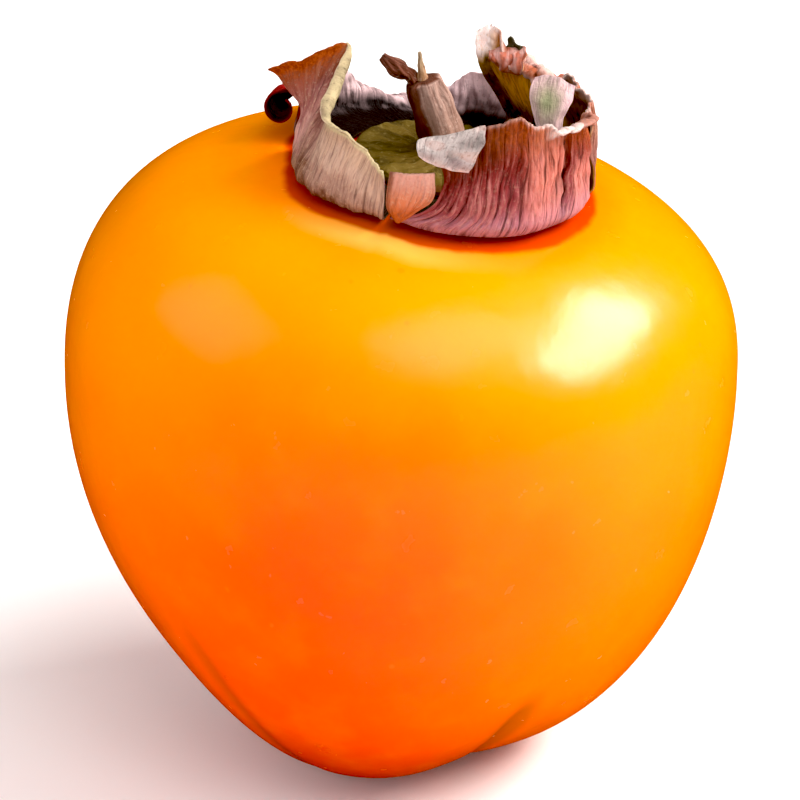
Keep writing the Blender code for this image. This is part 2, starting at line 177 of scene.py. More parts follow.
def ripple(seed, x, y, size, stretch=1.0, waves=14):
    """A smooth seeded noise of about -1 to 1 over x and y, with features of one size."""
    chance = np.random.default_rng(seed)
    total = np.zeros(np.broadcast(x, y).shape)
    for _ in range(waves):
        turn = chance.uniform(0, 2 * math.pi)
        rate = 2 * math.pi / size * chance.uniform(0.6, 1.6)
        phase = chance.uniform(0, 2 * math.pi)
        total = total + np.sin(rate * (x * math.cos(turn) + y * math.sin(turn) / stretch) + phase)
    return total / math.sqrt(waves / 2) / 1.6


def catmull(points, count):
    """Count points along the smooth curve through the points."""
    points = np.asarray(points, float)
    ends = [2 * points[:1] - points[1:2], points, 2 * points[-1:] - points[-2:-1]]
    padded = np.concatenate(ends)
    last = len(points) - 1
    place = np.linspace(0, 1, count) * last
    i = np.minimum(place.astype(int), last - 1)
    t = (place - i).reshape(-1, *[1] * (points.ndim - 1))
    a, b, c, d = padded[i], padded[i + 1], padded[i + 2], padded[i + 3]
    bend, twist = a * 2 - b * 5 + c * 4 - d, b * 3 - a - c * 3 + d
    return (b * 2 + (c - a) * t + bend * t**2 + twist * t**3) / 2


def lengths(line):
    steps = np.linalg.norm(np.diff(line, axis=0), axis=1)
    return np.concatenate([[0], np.cumsum(steps)])


def evenly(line, count, keep=1.0):
    """Count points evenly spaced along a line of points, up to a share of its length."""
    along = lengths(line)
    want = np.linspace(0, along[-1] * keep, count)
    return np.stack([np.interp(want, along, line[:, k]) for k in range(3)], axis=1)


def unit(vectors):
    return vectors / np.maximum(np.linalg.norm(vectors, axis=-1, keepdims=True), 1e-12)


def normals_of(grid):
    """The outward normals of a grid of points (columns towards +azimuth, rows towards the rim)."""
    return unit(np.cross(np.gradient(grid, axis=0), np.gradient(grid, axis=1)))


def angle_between(a, b):
    return (a - b + 180.0) % 360.0 - 180.0


def wrapped(turn):
    """A turn in radians, between -pi and pi."""
    return np.arctan2(np.sin(turn), np.cos(turn))


def fruit_surface(azimuth, latitude):
    """Points of the skin in mm, by azimuth in degrees and latitude in radians."""
    turn = np.radians(azimuth)
    sine = np.abs(np.sin(latitude))
    cosine = np.clip(np.cos(latitude), 0, 1)
    groove = sum(bump(0, GROOVE_WIDTH, angle_between(azimuth, g)) for g in GROOVES)
    rise = sine**CROWN_HEIGHT_POWER
    drop = sine**TIP_HEIGHT_POWER
    low = RADIUS * cosine**TIP_RADIUS_POWER * (1 - GROOVE_DEPTH * groove * drop**GROOVE_GROWTH)
    top = RADIUS * cosine**CROWN_RADIUS_POWER
    above = latitude >= 0
    radius = np.where(above, top, low)
    dimple = DIMPLE_DEPTH * bump(0, DIMPLE_RADIUS, radius)
    crown = WIDEST + CROWN_RISE * rise - CROWN_SLOPE * rise * radius * np.sin(turn)
    height = np.where(above, crown, WIDEST - TIP_DROP * drop + dimple)
    shift = np.where(above, CROWN_SHIFT * rise**2, TIP_SHIFT * drop**2)
    return np.stack([radius * np.sin(turn) + shift, -radius * np.cos(turn), height], axis=-1)


def crown_height(x, y):
    across = x - CROWN_SHIFT
    cosine = (np.hypot(across, y) / RADIUS) ** (1.0 / CROWN_RADIUS_POWER)
    rise = np.sqrt(np.maximum(1.0 - cosine**2, 0.0)) ** CROWN_HEIGHT_POWER
    return WIDEST + CROWN_RISE * rise - CROWN_SLOPE * across


def in_calyx(points):
    """Points in mm of the calyx's frame as points in mm of the object's."""
    return np.asarray(points, float) @ np.array(TILT).T + np.array(CALYX) / MM


def calyx_point(azimuth, radius, height):
    turn = math.radians(azimuth)
    return in_calyx((radius * math.sin(turn), -radius * math.cos(turn), height))


def calyx_line(points, count):
    """A smooth line through points (azimuth, radius, height) of the calyx's frame."""
    return catmull([calyx_point(*point) for point in points], count)


def resting_point(azimuth, radius):
    """A point of a lobe that lies on the crown."""
    point = calyx_point(azimuth, radius, 0)
    point[2] = crown_height(point[0], point[1]) + LOBE_REST
    return point


def rib_line(rib):
    """A rib's points from the disc, over the crown and up to the rim."""
    foot, wall = rib[0][:2]
    line = [resting_point(foot, r) for r in (*FLOOR_RADII, wall - FOOT_INSET)]
    line += [calyx_point(*point) for point in rib]
    return catmull(line, 200)


def free_line(points):
    """A smooth line through points (x, y, height) of the calyx's frame."""
    return catmull(in_calyx(points), 100)


def loft(lines, columns, rows):
    """A grid of points through lines that are each spaced evenly."""
    even = np.stack([evenly(line, rows) for line in lines])
    return catmull(even, columns)


def trimmed(grid, cut):
    """The grid with each column shortened at its rim by cut mm."""
    made = []
    for column, short in zip(grid, np.broadcast_to(cut, len(grid))):
        made.append(evenly(column, len(column), 1 - short / lengths(column)[-1]))
    return np.stack(made)


def curled(grid, width, angle):
    """The last width mm of each column turned outwards by angle degrees, in a smooth curl."""
    made = grid.copy()
    steps = np.diff(grid, axis=1)
    size = np.linalg.norm(steps, axis=2)
    far = from_rim(grid)[:, :-1]
    wide = np.broadcast_to(width, len(grid))[:, None]
    most = np.radians(np.broadcast_to(angle, len(grid)))[:, None]
    turn = most * np.clip(1 - far / np.maximum(wide, 1e-6), 0, 1)
    outward = normals_of(grid)[:, :-1]
    bent = steps * np.cos(turn)[..., None] + outward * (size * np.sin(turn))[..., None]
    made[:, 1:] = grid[:, :1] + np.cumsum(bent, axis=1)
    return made


def rolled_edge(rim, widths, turn):
    """A grid of points that leaves a rim line upwards and rolls outwards by turn radians."""
    ahead = unit(np.gradient(rim, axis=0))
    out = rim - in_calyx(CUP_MIDDLE)
    out = unit(out - ahead * (out * ahead).sum(axis=1, keepdims=True))
    up = np.cross(out, ahead)
    swing = np.linspace(0, turn, 24)[None, :, None]
    roll = np.sin(swing) * up[:, None] + (1 - np.cos(swing)) * out[:, None]
    return rim[:, None] + (widths / turn)[:, None, None] * roll


def from_rim(grid):
    """How far each point is from its column's rim, in mm."""
    size = np.linalg.norm(np.diff(grid, axis=1), axis=2)
    far = np.cumsum(size[:, ::-1], axis=1)[:, ::-1]
    return np.concatenate([far, np.zeros((len(grid), 1))], axis=1)


def across_mm(grid):
    """How far each column is along the sheet at two thirds of its height, in mm."""
    row = grid[:, int(grid.shape[1] * 0.66)]
    return lengths(row)[:, None] * np.ones(grid.shape[1])


def quads(number):
    """The faces between the neighbours in a grid of point numbers."""
    corners = (number[:-1, :-1], number[1:, :-1], number[1:, 1:], number[:-1, 1:])
    return np.stack(corners, axis=-1).reshape(-1, 4)


def sheet(grid, thickness, fields):
    """Vertices, faces and fields of a closed thin sheet about a grid of points.
    A field is one grid of values, or a pair of them for the outer and the inner side."""
    columns, rows = grid.shape[:2]
    half = normals_of(grid) * np.broadcast_to(thickness, (columns, rows))[..., None] / 2
    points = np.concatenate([(grid + half).reshape(-1, 3), (grid - half).reshape(-1, 3)])
    number = np.arange(columns * rows).reshape(columns, rows)
    other = number + columns * rows
    made = [quads(number), quads(other)[:, [0, 3, 2, 1]]]
    for edge, behind in (
        (number[:, 0], other[:, 0]),
        (number[-1, :], other[-1, :]),
        (number[::-1, -1], other[::-1, -1]),
        (number[0, ::-1], other[0, ::-1]),
    ):
        made.append(np.stack([edge[:-1], behind[:-1], behind[1:], edge[1:]], axis=-1))
    faces = np.concatenate(made).tolist()
    values = {}
    placed = {"along": np.linspace(0, 1, rows), "across_mm": across_mm(grid), "rim_mm": from_rim(grid)}
    for key, value in {**placed, **fields}.items():
        sides = value if isinstance(value, tuple) else (value, value)
        values[key] = np.concatenate([np.broadcast_to(v, (columns, rows)).reshape(-1) for v in sides])
    values["side"] = np.repeat([0.0, 1.0], columns * rows)
    return points, faces, values


def wall_sheet(grid, fields, thickness=0.34, thinned=0.1):
    """A lobe's wall, thinner towards its rim."""
    share = np.linspace(0, 1, grid.shape[1])
    return sheet(grid, thickness - thinned * smooth(0.5, 1.0, share), fields)


def closed_round(grid, ends, flipped=False):
    """Points and faces of a grid (around, along) whose columns end in one point at each end."""
    around, rows = grid.shape[:2]
    number = np.arange(around * rows).reshape(around, rows)
    beside = np.roll(number, -1, axis=0)
    walls = quads(np.concatenate([number, number[:1]]))
    end = np.full(around, around * rows)
    start_cap = np.stack([beside[:, 0], number[:, 0], end], axis=-1)
    end_cap = np.stack([number[:, -1], beside[:, -1], end + 1], axis=-1)
    faces = walls.tolist() + start_cap.tolist() + end_cap.tolist()
    if flipped:
        faces = [[face[0], *face[:0:-1]] for face in faces]
    return np.concatenate([grid.reshape(-1, 3), ends]), faces


def with_ends(values, start=0, end=0):
    """A grid of values as a list, with those of the two end points."""
    return np.concatenate([values.reshape(-1), [start, end]])


def joined(parts):
    """Several (points, faces, fields) as one."""
    points, faces, fields, count = [], [], {}, 0
    names = {name for part in parts for name in part[2]}
    for part_points, part_faces, part_fields in parts:
        points.append(part_points)
        faces += [[k + count for k in face] for face in part_faces]
        for name in names:
            empty = np.zeros(len(part_points))
            fields.setdefault(name, []).append(part_fields.get(name, empty))
        count += len(part_points)
    return np.concatenate(points), faces, {k: np.concatenate(v) for k, v in fields.items()}


def add_object(name, data):
    made = bpy.data.objects.new(name, data)
    bpy.context.scene.collection.objects.link(made)
    return made


def add_mesh(name, points, faces, surface):
    """A smooth mesh, from points in metres."""
    data = bpy.data.meshes.new(name)
    data.from_pydata(points, [], faces)
    data.shade_smooth()
    data.materials.append(surface)
    return add_object(name, data)


def add_piece(name, built, surface, node):
    """A finished piece from (points in mm, faces, fields), riding on the root body for its CAD node."""
    points, faces, fields = built
    piece = add_mesh(name, (points * MM).tolist(), faces, surface)
    for key, values in fields.items():
        field = piece.data.attributes.new(key, "FLOAT", "POINT")
        field.data.foreach_set("value", values.astype(np.float32))
    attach(piece, "root")
    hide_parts(node)


class Surface:
    """A node material built up in layers of colour, with roughness and bump."""

    def __init__(self, name):
        self.material = bpy.data.materials.new(name)
        self.material.use_nodes = True
        self.tree = self.material.node_tree
        self.shader = self.tree.nodes["Principled BSDF"]

    def node(self, kind, **settings):
        made = self.tree.nodes.new(kind)
        for key, value in settings.items():
            setattr(made, key, value)
        return made

    def link(self, source, target):
        self.tree.links.new(source, target)

    def feed(self, target, value):
        if isinstance(value, bpy.types.NodeSocket):
            self.link(value, target)
        else:
            target.default_value = value

    def field(self, name):
        return self.node("ShaderNodeAttribute", attribute_name=name).outputs["Fac"]

    def math(self, operation, a, b=0.0, c=0.0):
        made = self.node("ShaderNodeMath", operation=operation)
        for socket, value in zip(made.inputs, (a, b, c)):
            self.feed(socket, value)
        return made.outputs[0]

    def times(self, a, b):
        return self.math("MULTIPLY", a, b)

    def stirred(self, value, noise, amount):
        """value moved both ways by a noise about 0.5."""
        return self.math("ADD", value, self.times(self.math("SUBTRACT", noise, 0.5), amount))

    def span(self, value, low, high, to_low=0.0, to_high=1.0):
        """value moved smoothly from the span low to high into the span to_low to to_high."""
        made = self.node("ShaderNodeMapRange", interpolation_type="SMOOTHSTEP")
        for socket, given in zip(made.inputs[:5], (value, low, high, to_low, to_high)):
            self.feed(socket, given)
        return made.outputs[0]

    def place(self, x, y, z=0.0):
        """A vector for the textures, from three values."""
        made = self.node("ShaderNodeCombineXYZ")
        for socket, value in zip(made.inputs, (x, y, z)):
            self.feed(socket, value)
        return made.outputs[0]

    def body(self, scale=1.0):
        """The object's own coordinates in mm, times scale."""
        made = self.node("ShaderNodeVectorMath", operation="SCALE")
        self.link(self.node("ShaderNodeTexCoord").outputs["Object"], made.inputs[0])
        made.inputs["Scale"].default_value = scale / MM
        return made.outputs[0]

    def noise(self, where, scale, detail=3.0, roughness=0.5, distortion=0.0):
        made = self.node("ShaderNodeTexNoise")
        self.link(where, made.inputs["Vector"])
        made.inputs["Scale"].default_value = scale
        made.inputs["Detail"].default_value = detail
        made.inputs["Roughness"].default_value = roughness
        made.inputs["Distortion"].default_value = distortion
        return made.outputs["Fac"]

    def cells(self, where, scale, feature="F1"):
        made = self.node("ShaderNodeTexVoronoi", feature=feature)
        self.link(where, made.inputs["Vector"])
        made.inputs["Scale"].default_value = scale
        return made.outputs["Distance"]

    def ramp(self, value, *stops):
        """A colour ramp through (place, colour) stops."""
        made = self.node("ShaderNodeValToRGB")
        made.color_ramp.interpolation = "EASE"
        points = made.color_ramp.elements
        while len(points) < len(stops):
            points.new(1.0)
        for point, (place, color) in zip(points, stops):
            point.position = place
            point.color = (*color, 1)
        self.feed(made.inputs[0], value)
        return made.outputs[0]

    def mix(self, share, a, b, kind="MIX"):
        made = self.node("ShaderNodeMix", data_type="RGBA", blend_type=kind)
        made.clamp_factor = True
        self.feed(made.inputs[0], share)
        for socket, value in ((made.inputs[6], a), (made.inputs[7], b)):
            self.feed(socket, (*value, 1) if isinstance(value, tuple) else value)
        return made.outputs[2]

    def relief(self, height, distance, strength=1.0, under=None):
        """A bump of distance mm."""
        made = self.node("ShaderNodeBump")
        made.inputs["Strength"].default_value = strength
        made.inputs["Distance"].default_value = distance * MM
        self.feed(made.inputs["Height"], height)
        if under is not None:
            self.link(under, made.inputs["Normal"])
        return made.outputs[0]

    def finish(self, color, roughness, normal, **constants):
        self.feed(self.shader.inputs["Base Color"], color)
        self.feed(self.shader.inputs["Roughness"], roughness)
        self.link(normal, self.shader.inputs["Normal"])
        for key, value in constants.items():
            self.shader.inputs[key.replace("_", " ")].default_value = value
        return self.material


# --- the fruit

# Each crease: azimuth at its top, its change per degree of latitude, latitudes, depth, width in degrees
CREASES = (
    (-46.0, -0.42, (-20, -58), 0.28, 3.4),
    (31.0, 0.0, (-36, -75), 0.75, 4.5),
    (135.0, 0.0, (-30, -75), 0.6, 4.5),
    (215.0, 0.0, (-30, -75), 0.6, 4.5),
)


def crease_field(azimuth, latitude):
    """How deep each point lies in the fruit's narrow creases, in mm."""
    degrees = np.degrees(latitude)
    depth = np.zeros(azimuth.shape)
    for start, lean, (top, end), deep, width in CREASES:
        middle = start + lean * (degrees - top)
        within = smooth(-top - 4, -top + 14, -degrees) * fade(-end, -end + 12, -degrees)
        depth = depth + deep * within * bump(0, width, angle_between(azimuth, middle))
    return depth


def beyond_calyx(points):
    """How far outside the calyx's foot each point of the crown lies, in mm."""
    local = (points - np.array(CALYX) / MM) @ np.array(TILT)
    azimuth = np.degrees(np.arctan2(local[:, 0], -local[:, 1])) % 360
    feet = sorted({rib[0][0] % 360: rib[0][1] for lobe in LOBES for rib in lobe}.items())
    wall = np.interp(azimuth, *zip(*feet), period=360)
    distance = np.where(points[:, 2] > WIDEST, np.hypot(local[:, 0], local[:, 1]) - wall, 50.0)
    front = bump(0, 26, angle_between(azimuth, -20))
    return distance, front


def build_fruit():
    """The skin, with its swellings and narrow creases."""
    columns, rows = 288, 220
    azimuth = np.arange(columns) * 360.0 / columns
    pole = np.linspace(-1, 1, rows)
    latitude = np.sign(pole) * math.pi / 2 * (1 - (1 - np.abs(pole)) ** 1.5)
    az, lat = np.meshgrid(azimuth, latitude[1:-1], indexing="ij")
    grid = fruit_surface(az, lat)
    closed = np.concatenate([grid[-1:], grid, grid[:1]])
    outward = normals_of(closed)[1:-1]
    crease = crease_field(az, lat)
    turn = np.radians(az)
    swell = ripple(3, 30 * np.sin(turn) * np.cos(lat), 30 * lat + 20 * np.cos(turn), 24)
    swell = swell * 0.10 * np.cos(lat)
    grid = grid + outward * (swell - crease)[..., None]
    grid[..., 2] = np.maximum(grid[..., 2], 0.0)
    poles = fruit_surface(np.zeros(2), np.array([-1, 1]) * math.pi / 2)
    points, faces = closed_round(grid, poles)
    around = np.degrees(np.arctan2(points[:, 0], -points[:, 1]))
    skirt, front = beyond_calyx(points)
    fields = {
        "crease": with_ends(crease),
        "skirt": skirt,
        "front": front,
        "blush": bump(0, 38, angle_between(around, -14)) * bump(42, 20, points[:, 2]),
        "gold": bump(0, 32, angle_between(around, 40)) * bump(28, 18, points[:, 2]),
    }
    return points, faces, fields


# The skin gets darker towards the tip; this darkening is painted shade under the fruit.
SKIN = (  # from the tip to the crown: (share of the way, colour)
    (0.0, (0.58, 0.040, 0.0)),
    (0.18, (0.88, 0.072, 0.0)),
    (0.45, (0.98, 0.105, 0.0)),
    (0.75, (1.0, 0.195, 0.0)),
    (1.0, (1.0, 0.28, 0.0)),
)


def skin_material():
    """Glossy skin, coloured along its height and by the mesh's fields."""
    s = Surface("persimmon_skin")
    body = s.body()
    parts = s.node("ShaderNodeSeparateXYZ")
    s.link(body, parts.inputs[0])
    x, _, z = parts.outputs
    cloud = s.noise(body, 0.045, 2.0)
    patch = s.noise(body, 0.16, 3.0)
    high = s.stirred(z, cloud, 18.0)
    color = s.ramp(s.span(high, 0.0, 76.0), *SKIN)
    color = s.mix(s.times(s.field("gold"), 0.35), color, (1.0, 0.28, 0.0))
    color = s.mix(s.times(s.field("blush"), 0.62), color, (0.96, 0.042, 0.0))
    right = s.span(s.math("ADD", x, s.times(cloud, 10.0)), 5.0, 40.0)
    color = s.mix(s.times(right, 0.6), color, (1.0, 0.24, 0.0))
    left = s.span(s.math("ADD", x, s.times(patch, 8.0)), -8.0, -38.0)
    color = s.mix(s.times(left, 0.45), color, (1.0, 0.23, 0.0))
    color = s.mix(s.times(s.span(patch, 0.40, 0.80), 0.14), color, (1.0, 0.27, 0.002))
    skirt = s.stirred(s.field("skirt"), patch, 1.6)
    aside = s.math("SUBTRACT", 1.0, s.field("front"))
    # A redder band round the calyx's foot, strongest to the sides: partly the skin's own redness, partly
    # painted shade.
    color = s.mix(s.times(s.span(skirt, 6.0, 1.5, 0.0, 0.5), aside), color, (1.0, 0.15, 0.0))
    sheen = s.times(s.span(skirt, 5.0, 2.5), s.field("front"))
    color = s.mix(s.times(sheen, 0.7), color, (1.0, 0.50, 0.10))
    # A dark red line right at the calyx's foot: painted contact shadow.
    color = s.mix(s.span(skirt, 1.4, 0.4, 0.0, 0.85), color, (0.48, 0.014, 0.0))
    # Painted shade in the fruit's narrow creases.
    crease = s.span(s.field("crease"), 0.02, 0.5)
    color = s.mix(s.times(crease, 0.55), color, (0.30, 0.07, 0.002))
    speck = s.span(s.cells(body, 0.22), 0.12, 0.06)
    some = s.span(s.noise(body, 0.5, 1.0), 0.60, 0.66)
    color = s.mix(s.times(s.times(speck, some), 0.35), color, (0.95, 0.17, 0.012))
    pores = s.span(s.cells(body, 1.3), 0.0, 0.5)
    fine = s.noise(body, 2.2, 4.0)
    normal = s.relief(s.math("ADD", pores, s.times(fine, 0.5)), 0.008, 0.4)
    normal = s.relief(patch, 0.4, 0.3, normal)
    rough = s.math("ADD", 0.19, s.times(s.noise(body, 0.35, 3.0), 0.12))
    s.shader.inputs["Subsurface Radius"].default_value = (1.0, 0.22, 0.05)
    return s.finish(
        color, rough, normal,
        Subsurface_Weight=0.2, Subsurface_Scale=2.5 * MM, IOR=1.45, Specular_IOR_Level=0.5,
    )


# --- the papery lobes


def paper_material(name, outer, inner, tint, pale, streak=1.0, speck=0.45, lit=(0.52, 0.25, 0.22)):
    """Dry sepal: outer, inner and tint are ramps from foot to rim. The mesh's fields place the rest."""
    s = Surface(name)
    along, side = s.field("along"), s.field("side")
    over, rim = s.field("across_mm"), s.field("rim_mm")
    body = s.body()
    lanes = s.place(s.times(over, 1.9), s.times(rim, 0.17), side)
    hairs = s.place(s.times(over, 5.0), s.times(rim, 0.5), side)
    lane = s.noise(lanes, 1.0, 3.0, 0.55, 0.5)
    hair = s.noise(hairs, 1.0, 3.0, 0.6, 0.3)
    mottle = s.noise(body, 0.55, 4.0, 0.6)
    grain = s.noise(body, 2.6, 4.0, 0.65)
    wander = s.stirred(along, mottle, 0.34)
    front = s.ramp(wander, *outer)
    front = s.mix(s.field("tint"), front, s.ramp(wander, *tint))
    front = s.mix(s.field("mauve"), front, s.mix(grain, (0.42, 0.19, 0.27), (0.62, 0.33, 0.42)))
    front = s.mix(s.span(lane, 0.50, 0.68, 0.0, 0.45 * streak), front, lit)
    front = s.mix(s.span(grain, 0.50, 0.70, 0.0, speck), front, (0.54, 0.36, 0.25))
    color = s.mix(side, front, s.ramp(wander, *inner))
    # Painted light: where the mesh marks it, the paper is tinted dark red as light thrown up from the
    # orange fruit.
    color = s.mix(s.field("blood"), color, s.mix(mottle, (0.36, 0.010, 0.010), (0.20, 0.006, 0.006)))
    color = s.mix(s.span(lane, 0.50, 0.30, 0.0, 0.8 * streak), color, (0.050, 0.010, 0.010))
    color = s.mix(s.span(hair, 0.50, 0.34, 0.0, 0.4), color, (0.10, 0.03, 0.03))
    color = s.mix(s.times(s.field("pale"), s.span(grain, 0.30, 0.5, 0.6, 1.0)), color, pale)
    rust = s.mix(s.span(grain, 0.3, 0.7), (0.42, 0.085, 0.014), (0.20, 0.030, 0.009))
    color = s.mix(s.field("warm"), color, rust)
    color = s.mix(s.field("moss"), color, s.mix(grain, (0.20, 0.19, 0.10), (0.30, 0.31, 0.18)))
    # Where the mesh marks it, the paper is darkened almost to black: mostly painted shade, and the dark
    # of the small tatter.
    dark_and_shade_amount = s.times(s.field("soot"), s.span(mottle, 0.35, 0.6, 1.0, 0.8))
    color = s.mix(dark_and_shade_amount, color, (0.008, 0.004, 0.005))
    normal = s.relief(s.math("ADD", lane, s.times(hair, 0.35)), 0.55, 0.75 * streak)
    normal = s.relief(s.math("ADD", grain, s.times(mottle, 0.8)), 0.16, 0.7, normal)
    return s.finish(color, s.span(grain, 0.3, 0.7, 0.62, 0.85), normal, Specular_IOR_Level=0.14)


# Colours of the dry sepals, from foot to rim: (share of the way, colour)
MAUVE = (
    (0.0, (0.18, 0.11, 0.04)),
    (0.36, (0.38, 0.20, 0.13)),
    (0.50, (0.60, 0.31, 0.28)),
    (0.66, (0.32, 0.11, 0.10)),
    (1.0, (0.16, 0.040, 0.015)),
)
BEIGE = (
    (0.0, (0.18, 0.11, 0.03)),
    (0.50, (0.15, 0.06, 0.03)),
    (0.64, (0.36, 0.20, 0.15)),
    (0.78, (0.51, 0.32, 0.24)),
    (1.0, (0.45, 0.27, 0.18)),
)
MAROON = (
    (0.0, (0.24, 0.08, 0.03)),
    (0.36, (0.32, 0.11, 0.10)),
    (0.52, (0.24, 0.045, 0.05)),
    (0.80, (0.18, 0.018, 0.016)),
    (1.0, (0.20, 0.045, 0.015)),
)
SALMON = (
    (0.0, (0.36, 0.13, 0.10)),
    (0.45, (0.52, 0.17, 0.15)),
    (0.75, (0.54, 0.16, 0.12)),
    (1.0, (0.40, 0.12, 0.06)),
)
PLUM = ((0.0, (0.18, 0.08, 0.05)), (0.5, (0.20, 0.07, 0.06)), (1.0, (0.28, 0.11, 0.07)))
OCHRE = (
    (0.0, (0.12, 0.07, 0.01)),
    (0.45, (0.90, 0.42, 0.04)),
    (0.85, (0.95, 0.46, 0.06)),
    (1.0, (0.70, 0.30, 0.12)),
)
PEACH = ((0.0, (0.62, 0.19, 0.06)), (0.4, (0.56, 0.18, 0.09)), (1.0, (0.44, 0.16, 0.10)))
SHADOWED = (
    (0.0, (0.012, 0.009, 0.003)),
    (0.30, (0.008, 0.005, 0.002)),
    (0.6, (0.008, 0.003, 0.002)),
    (0.86, (0.10, 0.03, 0.035)),
    (1.0, (0.50, 0.28, 0.28)),
)


def crumple(grid, seed, wrinkle, size, buckle=0.12, floor=0.42, calm=0.0):
    """The grid with wrinkles that run up its wall and a slow buckle, both fading out at the foot."""
    u, far = across_mm(grid), from_rim(grid)
    share = np.linspace(0, 1, grid.shape[1])[None, :]
    rise = smooth(floor - 0.12, floor + 0.2, share)
    lines = ripple(seed, u, far, size, 7.0) + 0.5 * ripple(seed + 1, u, far, size * 0.5, 5.0)
    slow = ripple(seed + 2, u, far, 6.0)
    push = rise * (wrinkle * lines + buckle * slow)
    quiet = 1 - np.broadcast_to(calm, len(grid))[:, None] * fade(2.5, 5.0, far)
    return grid + normals_of(grid) * (push * quiet)[..., None]


def shaken(grid, seed, depth, size):
    """The grid with every point moved a little, edges too."""
    over, far = across_mm(grid), from_rim(grid)
    return grid + depth * np.stack([ripple(seed + k, over, far, size) for k in range(3)], axis=-1)


def ragged(seed, columns, width_mm, size, depth):
    """How far each column's rim is torn back, in mm."""
    u = np.linspace(0, width_mm, columns)
    return depth * (0.5 + 0.5 * ripple(seed, u, 0 * u, size, waves=9)).clip(0, 2)


def build_left():
    """The left lobe: its tip curled outwards, and a rolled cream edge to its right."""
    columns, rows = 210, 96
    grid = loft([rib_line(rib) for rib in LEFT_LOBE], columns, rows)
    u = np.linspace(0, 1, columns)
    straw = smooth(0.24, 0.36, u) * fade(0.50, 0.68, u)
    top = fade(0.25, 0.31, u)
    grid = trimmed(grid, ragged(11, columns, 24, 1.6, 0.25) * (1 - straw))
    grid = crumple(grid, 21, 0.10, 1.5, 0.14, calm=straw)
    grid = curled(grid, 0.3 + 1.3 * top, 50 * top)
    far = from_rim(grid)
    share = np.linspace(0, 1, rows)[None, :]
    band = straw[:, None] * fade(0.3, 1.2, far)
    lip = fade(0.15, 0.55, far) * smooth(0.5, 0.6, u)[:, None]
    beige = 1 - smooth(0.5, 0.85, share) * fade(0.40, 0.55, u)[:, None]
    fields = {
        "pale": np.clip(band + lip, 0, 1),
        "warm": top[:, None] * (0.5 * fade(0.7, 1.9, far) + 0.5 * fade(1.6, 4.6, far)),
        "tint": beige * smooth(0.2, 0.45, u)[:, None],
    }
    wall = wall_sheet(grid, fields, 0.36, 0.12)
    part = slice(int(0.272 * columns), int(0.80 * columns))
    wide = 0.06 + 0.5 * smooth(0.27, 0.31, u) * fade(0.60, 0.80, u)
    wide = wide + 1.3 * smooth(0.28, 0.42, u) * fade(0.50, 0.66, u)
    edge = shaken(rolled_edge(grid[part, -1], wide[part], 2.7), 24, 0.06, 1.8)
    aged = 0.66 + 0.14 * ripple(25, across_mm(edge), from_rim(edge), 2.6)
    return joined([wall, sheet(edge, SHRED, {"pale": aged})])


def build_front():
    """The front lobe: its corner folded out at the left, its rim curled outwards at the right."""
    columns, rows = 260, 104
    grid = loft([rib_line(rib) for rib in FRONT_LOBE], columns, rows)
    grid = trimmed(grid, ragged(12, columns, 27, 1.3, 0.3))
    grid = crumple(grid, 31, 0.17, 1.15, 0.16)
    u = np.linspace(0, 1, columns)
    far = from_rim(grid)
    share = np.linspace(0, 1, rows)[None, :]
    crease = bump(0.70 + 0.05 * (1 - share), 0.021, u[:, None])
    crease = crease * smooth(0.36, 0.55, share) * smooth(1.4, 3.0, far)
    grid = grid - normals_of(grid) * crease[..., None]
    cream = smooth(0.60, 0.66, u) * (1 - 0.75 * smooth(0.84, 0.97, u))
    grid = curled(grid, 0.3 + 1.9 * cream, 125 * cream)
    far = from_rim(grid)
    salmon = smooth(0.44, 0.60, u)[:, None] * fade(0.70, 0.74, u)[:, None] * smooth(0.3, 0.5, share)
    salmon = np.maximum(salmon, smooth(0.75, 0.80, u)[:, None] * fade(0.62, 0.80, share))
    foot = smooth(0.30, 0.36, share) * fade(0.42, 0.56, share)
    band = cream[:, None] * fade(1.7, 2.2, far)
    rust = fade(1.8, 5.6, far) * (0.85 + 0.15 * smooth(0.70, 0.76, u)[:, None])
    # The left part near the rim, under the folded flap, is painted dark as shade.
    left = fade(0.32, 0.48, u)[:, None] * fade(2.5, 7.0, far)
    fields = {
        "pale": np.clip(fade(0.1, 0.5, far) * 0.7 + band, 0, 1),
        "warm": 0.8 * rust * (1 - 0.6 * salmon),
        "tint": salmon,
        # Painted shade in the crease and under the flap.
        "soot": np.maximum(0.55 * crease, 0.5 * left),
        "mauve": 0.4 * foot,
    }
    wall = wall_sheet(grid, fields)
    folds = [(wall_rib[-1], *rib) for wall_rib, rib in zip(FRONT_LOBE, FRONT_FLAP)]
    flap = loft([calyx_line(fold, 60) for fold in folds], 90, 40)
    flap = shaken(flap, 41, 0.10, 2.2)
    far = from_rim(flap)
    glow = ripple(42, across_mm(flap), far, 3.0)
    right = np.linspace(0, 1, 90)[:, None]
    pale = 0.6 + 0.15 * glow - 0.2 * right
    folded = sheet(flap, SHRED, {"pale": pale, "warm": 0.25 * smooth(0.4, 1.0, glow), "mauve": 0.8})
    return joined([wall, folded])


